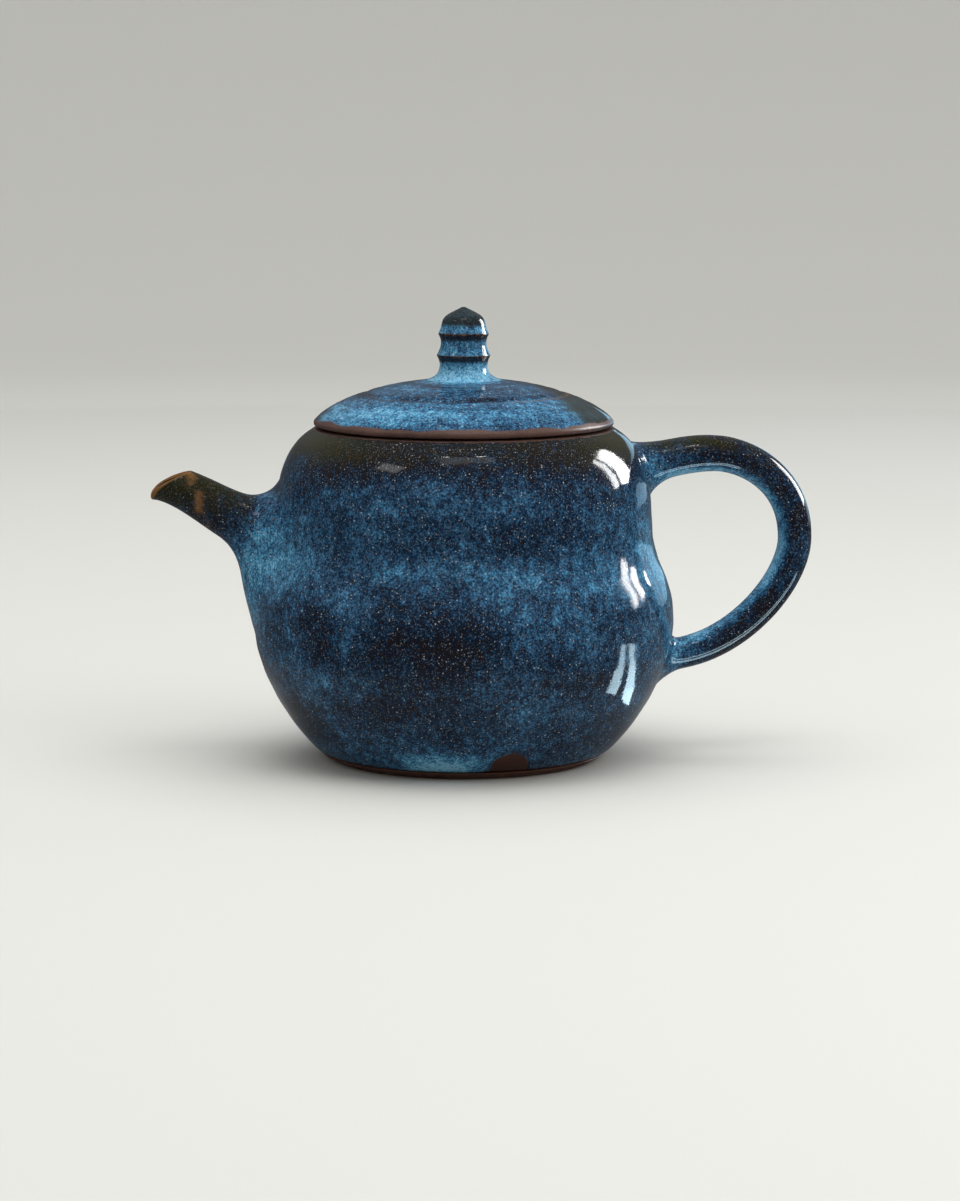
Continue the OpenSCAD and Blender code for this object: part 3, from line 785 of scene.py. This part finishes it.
class TEAPOT_OT_throw_pot(bpy.types.Operator):
    """Throw the wall with its floor and its rim"""
    bl_idname = "teapot.throw_pot"
    bl_label = "Throw the pot"

    def execute(self, context):
        s = sizes()
        wall, rim = Turned("body"), Turned("mouth_rim")
        floor = wall.top(10 * MM)
        mouth = rim.inner_radius(between(WALL_TOP, SEAT, 0.5))

        def trace(height):
            """How deep the fingers pressed at this height, fading out at the foot and the rim"""
            share = (height - FOOT_TOP) / (WALL_TOP - FOOT_TOP)
            calm = min(1, 6 * share, 6 * (1 - share))
            return s.ring_depth * calm * (1 + math.cos(math.tau * height / s.ring_pitch)) / 2

        outside = [(wall.radius(z) - trace(z), z)
                   for z in steps(FOOT_TOP + HAIR, WALL_TOP - HAIR, s.wall_rings)]
        gallery = [(rim.radius(z), z) for z in steps(WALL_TOP + 0.6 * MM, SEAT - 0.8 * MM, 6)]
        rim_edge = rim.radius(SEAT - 0.8 * MM)
        gallery += [(rim_edge - 0.45 * MM, SEAT - 0.4 * MM), (rim_edge - 1.3 * MM, SEAT - 0.2 * MM),
                    (rim_edge - 3 * MM, SEAT - 0.05 * MM)]
        mouth_edge = [(mouth + 2 * MM, SEAT), (mouth + 0.9 * MM, SEAT), (mouth + 0.2 * MM, SEAT - 0.3 * MM),
                      (mouth, SEAT - 1 * MM), (mouth, WALL_TOP + 1.4 * MM),
                      (mouth + 0.8 * MM, WALL_TOP + 0.1 * MM)]
        inside_top = WALL_TOP - 4 * MM
        shoulder = [(mouth + 4 * MM, WALL_TOP - 0.4 * MM),
                    (between(mouth, wall.inner_radius(inside_top), 0.8), WALL_TOP - 1.6 * MM)]
        inside = [(wall.inner_radius(z), z) for z in steps(inside_top, floor + 0.4 * MM, s.wall_rings - 6)]
        well = inside[-1][0]
        bottom = [(well - 3 * MM, floor), (well * 0.7, floor), (well * 0.35, floor), (CENTRE, floor)]
        under = [(CENTRE, FOOT_TOP), (20 * MM, FOOT_TOP), (outside[0][0] - 4 * MM, FOOT_TOP)]
        piece = throw("pot_wall", under + outside + gallery + mouth_edge + shoulder + inside + bottom)
        hole_radius = (STRAINER_HIGH.z - STRAINER_LOW.z) / 2
        hole_height = (STRAINER_HIGH.z + STRAINER_LOW.z) / 2
        bored(piece, hole_radius, *((x, 0, hole_height) for x in STRAINER_HOLE))
        finished(piece, "pot", "body_glaze", pot_glaze(), "body", "mouth_rim")
        return {'FINISHED'}


class TEAPOT_OT_trim_foot(bpy.types.Operator):
    """Trim the foot ring out of the clay under the pot"""
    bl_idname = "teapot.trim_foot"
    bl_label = "Trim the foot"

    def execute(self, context):
        foot = Turned("foot_ring")
        inner = foot.inner_radius(FOOT_TOP / 2)
        outer = foot.radius(SLIVER)
        outside = [(foot.radius(z), z) for z in steps(0.3 * MM, FOOT_TOP - HAIR, 6)]
        rings = [(inner, FOOT_TOP), (inner, FOOT_TOP / 2), (inner + 0.1 * MM, 0.5 * MM),
                 (inner + 0.5 * MM, 0.1 * MM), (inner + 1.1 * MM, 0), (outer - 1.4 * MM, 0),
                 (outer - 0.4 * MM, 0)]
        piece = throw("foot_ring_clay", rings + outside, ring_shaped=True)
        finished(piece, "pot", "bare_clay", bare_clay("foot_clay"), "foot_ring")
        return {'FINISHED'}


class TEAPOT_OT_join_spout(bpy.types.Operator):
    """Lute the thrown spout to the wall and smooth its flared root"""
    bl_idname = "teapot.join_spout"
    bl_label = "Join the spout"

    def execute(self, context):
        piece = luted("spout", "spout_thrown", lambda middle: middle.x > -70 * MM)
        mark_edges(piece)
        finished(piece, "pot", "spout_glaze", spout_glaze(), "spout")
        return {'FINISHED'}


class TEAPOT_OT_join_handle(bpy.types.Operator):
    """Lute the pulled handle to the wall at both roots"""
    bl_idname = "teapot.join_handle"
    bl_label = "Join the handle"

    def execute(self, context):
        piece = luted("handle", "handle_pulled", lambda middle: True)
        points, normals, _ = mesh_arrays(piece)
        towards = numpy.array(HANDLE_EYE) - points
        towards /= numpy.linalg.norm(towards, axis=1)[:, None]
        store(piece, "inward", (towards * normals).sum(axis=1))
        finished(piece, "pot", "handle_glaze", handle_glaze(), "handle")
        return {'FINISHED'}


class TEAPOT_OT_glaze_strainer(bpy.types.Operator):
    """Glaze the pierced dome behind the spout"""
    bl_idname = "teapot.glaze_strainer"
    bl_label = "Glaze the strainer"

    def execute(self, context):
        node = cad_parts["strainer"]
        recipe, amount = glaze("strainer_glaze", POT_LEVEL)
        material = finish_glaze(recipe, glaze_colour(recipe, amount))
        for slot in node.material_slots:
            slot.material = material
        return {'FINISHED'}


class TEAPOT_OT_throw_lid(bpy.types.Operator):
    """Throw the domed lid with its hollow, its ridge and its steam hole"""
    bl_idname = "teapot.throw_lid"
    bl_label = "Throw the lid"

    def execute(self, context):
        s = sizes()
        lid, knob, flange = Turned("lid"), Turned("knob"), Turned("lid_flange")
        knob_foot = knob.radius(LID_TOP + SLIVER)
        edge_height = SEAT + 1.8 * MM
        edge = lid.radius(edge_height)
        hollow = flange.inner_radius(SEAT - 1 * MM)

        def trace(radius):
            """Shallow rings, and one groove beside the ridge"""
            rings = 0.22 * s.ring_depth * (1 + math.cos(math.tau * radius / (0.5 * s.ring_pitch)))
            off = (radius - s.lid_step_radius) / (1.1 * MM)
            calm = min(1, max(0, (radius - knob_foot) / (5 * MM)), (edge - radius) / (4 * MM))
            return calm * (rings + s.lid_step_depth * math.exp(-off * off))

        top = [(CENTRE, LID_TOP - SLIVER), (knob_foot - 1 * MM, LID_TOP - SLIVER)]
        dome = [(r, lid.top(r) - trace(r)) for r in steps(knob_foot + 0.05 * MM, edge - 0.4 * MM, 44)]
        rim = [(lid.radius(z), z) for z in steps(edge_height + 0.1 * MM, SEAT + 0.8 * MM, 4)]
        seat = [(edge - 0.5 * MM, SEAT + 0.5 * MM), (edge - 1.3 * MM, SEAT + 0.3 * MM),
                (edge - 3 * MM, SEAT + 0.1 * MM), (hollow + 3 * MM, SEAT), (hollow + 0.3 * MM, SEAT),
                (hollow, SEAT + 0.3 * MM)]
        ceiling = lid.underside(hollow - 0.3 * MM)
        inside = [(hollow, ceiling - 0.8 * MM), (hollow - 0.3 * MM, ceiling - 0.1 * MM)]
        inside += [(r, lid.underside(r)) for r in steps(hollow - 1.4 * MM, CENTRE, 14)]
        piece = throw("lid_thrown", top + dome + rim + seat + inside)
        bored(piece, STEAM_HOLE_RADIUS, (0, STEAM_HOLE_AT, SEAT), (0, STEAM_HOLE_AT, LID_TOP + 10 * MM))
        finished(piece, "lid_top", "lid_glaze", lid_glaze(), "lid")
        return {'FINISHED'}


class TEAPOT_OT_throw_flange(bpy.types.Operator):
    """Throw the flange that keeps the lid in the mouth"""
    bl_idname = "teapot.throw_flange"
    bl_label = "Throw the flange"

    def execute(self, context):
        flange = Turned("lid_flange")
        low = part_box("lid_flange")[0].z
        outer, inner = flange.radius(SEAT - 1 * MM), flange.inner_radius(SEAT - 1 * MM)
        wall = [(outer, z) for z in steps(SEAT - SLIVER, low + 1.2 * MM, 6)]
        tip = [(outer - 0.3 * MM, low + 0.4 * MM), (outer - 0.9 * MM, low), (inner + 0.9 * MM, low),
               (inner + 0.3 * MM, low + 0.4 * MM)]
        back = [(inner, z) for z in steps(low + 1.2 * MM, SEAT - SLIVER, 6)]
        piece = throw("lid_flange_clay", wall + tip + back, ring_shaped=True)
        finished(piece, "lid_seat", "bare_clay", bare_clay("flange_clay"), "lid_flange")
        return {'FINISHED'}


class TEAPOT_OT_throw_knob(bpy.types.Operator):
    """Throw the ridged knob with its pointed cap"""
    bl_idname = "teapot.throw_knob"
    bl_label = "Throw the knob"

    def execute(self, context):
        knob, lid = Turned("knob"), Turned("lid")
        foot = knob.radius(LID_TOP + SLIVER)
        skirt = foot + 0.5 * MM
        side = [(knob.radius(z), z) for z in steps(LID_TOP + SLIVER, KNOB_TOP - 0.25 * MM, 64)]
        ridges = [height for (below, _), (radius, height), (above, _) in zip(side, side[1:], side[2:])
                  if radius > below and radius >= above]
        root = [(CENTRE, LID_TOP - 0.3 * MM), (skirt, lid.top(skirt) - 0.1 * MM)]
        piece = throw("knob_thrown", root + side)
        finished(piece, "lid_top", "knob_glaze", knob_glaze(ridges), "knob")
        return {'FINISHED'}


FLOOR_RADIUS = 1.5         # of the paper, up to where it begins to curve
CURVE_RADIUS = 0.9
# Rings of the dark cloth, as (radius, height)
CLOTH = ((0.035, 0.001), (1.2, 0.001), (1.35, 0.3), (1.3, 0.8), (1.0, 1.15), (0.5, 1.4), (0.05, 1.45))
# Name, place, width, depth and share of the window's strength
LAMPS = (
    ("strip", (0.0, -0.42, 1.2), 0.55, 0.22, 0.06),
    ("downlight_left", (-0.17, -0.27, 1.2), 0.05, 0.04, 1.6),
    ("downlight_right", (0.12, -0.24, 1.2), 0.09, 0.03, 1.6),
    ("left_panel", (-0.75, -0.35, 0.95), 0.30, 0.20, 0.15),
)
# Name, bearing in degrees, distance, width, lower and upper edge, share of the window's strength, tint
PANES = (
    ("window_left", 14, 0.95, 0.10, 0.20, 0.72, 1.0, (1, 1, 1)),
    ("window_right", 28, 0.95, 0.27, 0.20, 0.72, 1.0, (1, 1, 1)),
    ("sky", 50, 1.10, 0.95, 0.02, 0.30, 0.065, (0.42, 0.74, 1)),
)
KEY_POWER = 7
GLEAM_SIZE = (0.13, 0.011)
GLEAM_SHARE = 0.6
GLEAM_TINT = (0.6, 0.85, 1)
GLEAM_X = 0.135
GLEAM_SIDES = (-0.036, -0.017)
CAMERA_PLACE = (-0.09103, -1.0962, 0.203)
CAMERA_TURN = (math.radians(90 - 8.075), 0, math.radians(-5))
CAMERA_LENS = 111


class TEAPOT_OT_set_stage(bpy.types.Operator):
    """Set out the paper sweep, the lights and the camera"""
    bl_idname = "teapot.set_stage"
    bl_label = "Set the stage"

    def execute(self, context):
        light = context.scene.teapot_light
        self.paper(light)
        self.dim_room(light)
        self.room(context, light)
        ceiling = self.soft_light("ceiling", (0.1, 0.1, 1.5), (0, 0, 0.05), 1.9, 1.9, light.ceiling)
        ceiling.visible_glossy = False
        for name, place, width, depth, share in LAMPS:
            self.soft_light(name, place, (0, 0, 0.08), width, depth, light.window * share * width * depth)
        key = self.soft_light("key", (1.0, -0.75, 1.0), (0, 0, 0.06), 0.9, 0.9, KEY_POWER)
        key.visible_glossy = False
        for name, bearing, distance, width, low, high, share, tint in PANES:
            turn = math.radians(bearing)
            middle = (low + high) / 2
            pane = self.soft_light(name, (distance * math.cos(turn), distance * math.sin(turn), middle),
                                   (0, 0, middle), width, high - low,
                                   light.window * share * width * (high - low))
            self.for_gloss(pane, tint)
        length, width = GLEAM_SIZE
        for side in GLEAM_SIDES:
            gleam = self.soft_light("table_gleam", (GLEAM_X, side, 0.002), (GLEAM_X, side, 1), length, width,
                                    GLEAM_SHARE * light.window * length * width)
            self.for_gloss(gleam, GLEAM_TINT)
        self.camera(context)
        return {'FINISHED'}

    def spread(self, name, rings, first_fill):
        """A round sheet that runs from one (radius, height) to the next"""
        sheet = start_ring(name, SHEET_SIDES, rings[0], first_fill)
        bpy.ops.mesh.select_mode(type='EDGE')
        pull_up(rings)
        bpy.ops.object.mode_set(mode='OBJECT')
        in_order(sheet)
        bpy.ops.object.shade_smooth()
        return sheet

    def paper(self, light):
        """A round sweep of paper: a floor that curves up behind and all round"""
        rings = [(0.2, 0), (FLOOR_RADIUS, 0)]
        rings += [(FLOOR_RADIUS + CURVE_RADIUS * math.sin(a), CURVE_RADIUS - CURVE_RADIUS * math.cos(a))
                  for a in steps(math.radians(8), math.radians(84), 10)]
        sheet = self.spread("paper_sweep", rings, 'NGON')
        recipe = Recipe("paper")
        tooth = recipe.noise(2 * MM, detail=3.0)
        recipe.put(recipe.shader.inputs["Base Color"], tuple(light.paper))
        recipe.put(recipe.shader.inputs["Roughness"], 0.75)
        recipe.put(recipe.shader.inputs["Normal"], recipe.bump(tooth, 0.02 * MM))
        sheet.data.materials.append(recipe.material)

    def dim_room(self, light):
        """Dark cloth all round, which only the gloss of the glaze sees, so that its colours stay deep"""
        cloth = self.spread("dim_room", CLOTH, 'NOTHING')
        for hidden in ("visible_camera", "visible_diffuse", "visible_shadow", "visible_transmission"):
            setattr(cloth, hidden, False)
        recipe = Recipe("dark_cloth")
        grey = recipe.ramp(recipe.fade(recipe.z, 0.0, 1.0), (
            (0.0, (0.06, 0.065, 0.07)), (0.4, (0.12, 0.125, 0.135)), (1.0, (0.22, 0.23, 0.24))))
        close = recipe.fade(recipe.from_axis(), 0.06, 0.16, 0.3, 0.0)
        recipe.put(recipe.shader.inputs["Base Color"], recipe.blend(close, grey, tuple(light.paper)))
        recipe.put(recipe.shader.inputs["Roughness"], 1.0)
        cloth.data.materials.append(recipe.material)

    def room(self, context, light):
        world = bpy.data.worlds.new("room")
        world.use_nodes = True
        background = world.node_tree.nodes["Background"]
        background.inputs["Color"].default_value = (1.0, 0.99, 0.97, 1)
        background.inputs["Strength"].default_value = light.room
        context.scene.world = world

    def soft_light(self, name, place, target, width, height, power):
        data = bpy.data.lights.new(name, 'AREA')
        data.shape = 'RECTANGLE'
        data.size, data.size_y = width, height
        data.energy = power
        lamp = bpy.data.objects.new(name, data)
        lamp.location = place
        lamp.rotation_euler = (Vector(target) - Vector(place)).to_track_quat('-Z', 'Y').to_euler()
        bpy.context.scene.collection.objects.link(lamp)
        return lamp

    def for_gloss(self, lamp, tint):
        """Tints a lamp that is seen in the gloss of the glaze only"""
        lamp.data.color = tint
        lamp.visible_diffuse = False
        lamp.visible_camera = False

    def camera(self, context):
        data = bpy.data.cameras.new("camera")
        data.lens = CAMERA_LENS
        data.sensor_width = 36
        data.clip_start = 0.01
        camera = bpy.data.objects.new("camera", data)
        camera.location = CAMERA_PLACE
        camera.rotation_euler = CAMERA_TURN
        context.scene.collection.objects.link(camera)
        context.scene.camera = camera
        context.scene.view_settings.view_transform = 'Standard'


class TEAPOT_PT_workshop(bpy.types.Panel):
    """The steps in the order in which the teapot is made"""
    bl_label = "Teapot"
    bl_idname = "TEAPOT_PT_workshop"
    bl_space_type = 'VIEW_3D'
    bl_region_type = 'UI'
    bl_category = "Teapot"

    def draw(self, context):
        for group in (context.scene.teapot_sizes, context.scene.teapot_colours, context.scene.teapot_light):
            box = self.layout.box()
            for key in group.__annotations__:
                box.prop(group, key)
        for operator in OPERATORS:
            self.layout.operator(operator.bl_idname)


GROUPS = (TeapotSizes, TeapotColours, TeapotLight)
OPERATORS = (TEAPOT_OT_throw_pot, TEAPOT_OT_trim_foot, TEAPOT_OT_join_spout, TEAPOT_OT_join_handle,
             TEAPOT_OT_glaze_strainer, TEAPOT_OT_throw_lid, TEAPOT_OT_throw_flange, TEAPOT_OT_throw_knob,
             TEAPOT_OT_set_stage)


def register():
    for item in GROUPS + OPERATORS + (TEAPOT_PT_workshop,):
        bpy.utils.register_class(item)
    bpy.types.Scene.teapot_sizes = PointerProperty(type=TeapotSizes)
    bpy.types.Scene.teapot_colours = PointerProperty(type=TeapotColours)
    bpy.types.Scene.teapot_light = PointerProperty(type=TeapotLight)


def unregister():
    del bpy.types.Scene.teapot_light
    del bpy.types.Scene.teapot_colours
    del bpy.types.Scene.teapot_sizes
    for item in reversed(GROUPS + OPERATORS + (TEAPOT_PT_workshop,)):
        bpy.utils.unregister_class(item)


def main():
    register()
    bpy.ops.teapot.throw_pot()
    bpy.ops.teapot.trim_foot()
    bpy.ops.teapot.join_spout()
    bpy.ops.teapot.join_handle()
    bpy.ops.teapot.glaze_strainer()
    bpy.ops.teapot.throw_lid()
    bpy.ops.teapot.throw_flange()
    bpy.ops.teapot.throw_knob()
    bpy.ops.teapot.set_stage()


if __name__ == "__main__":
    main()
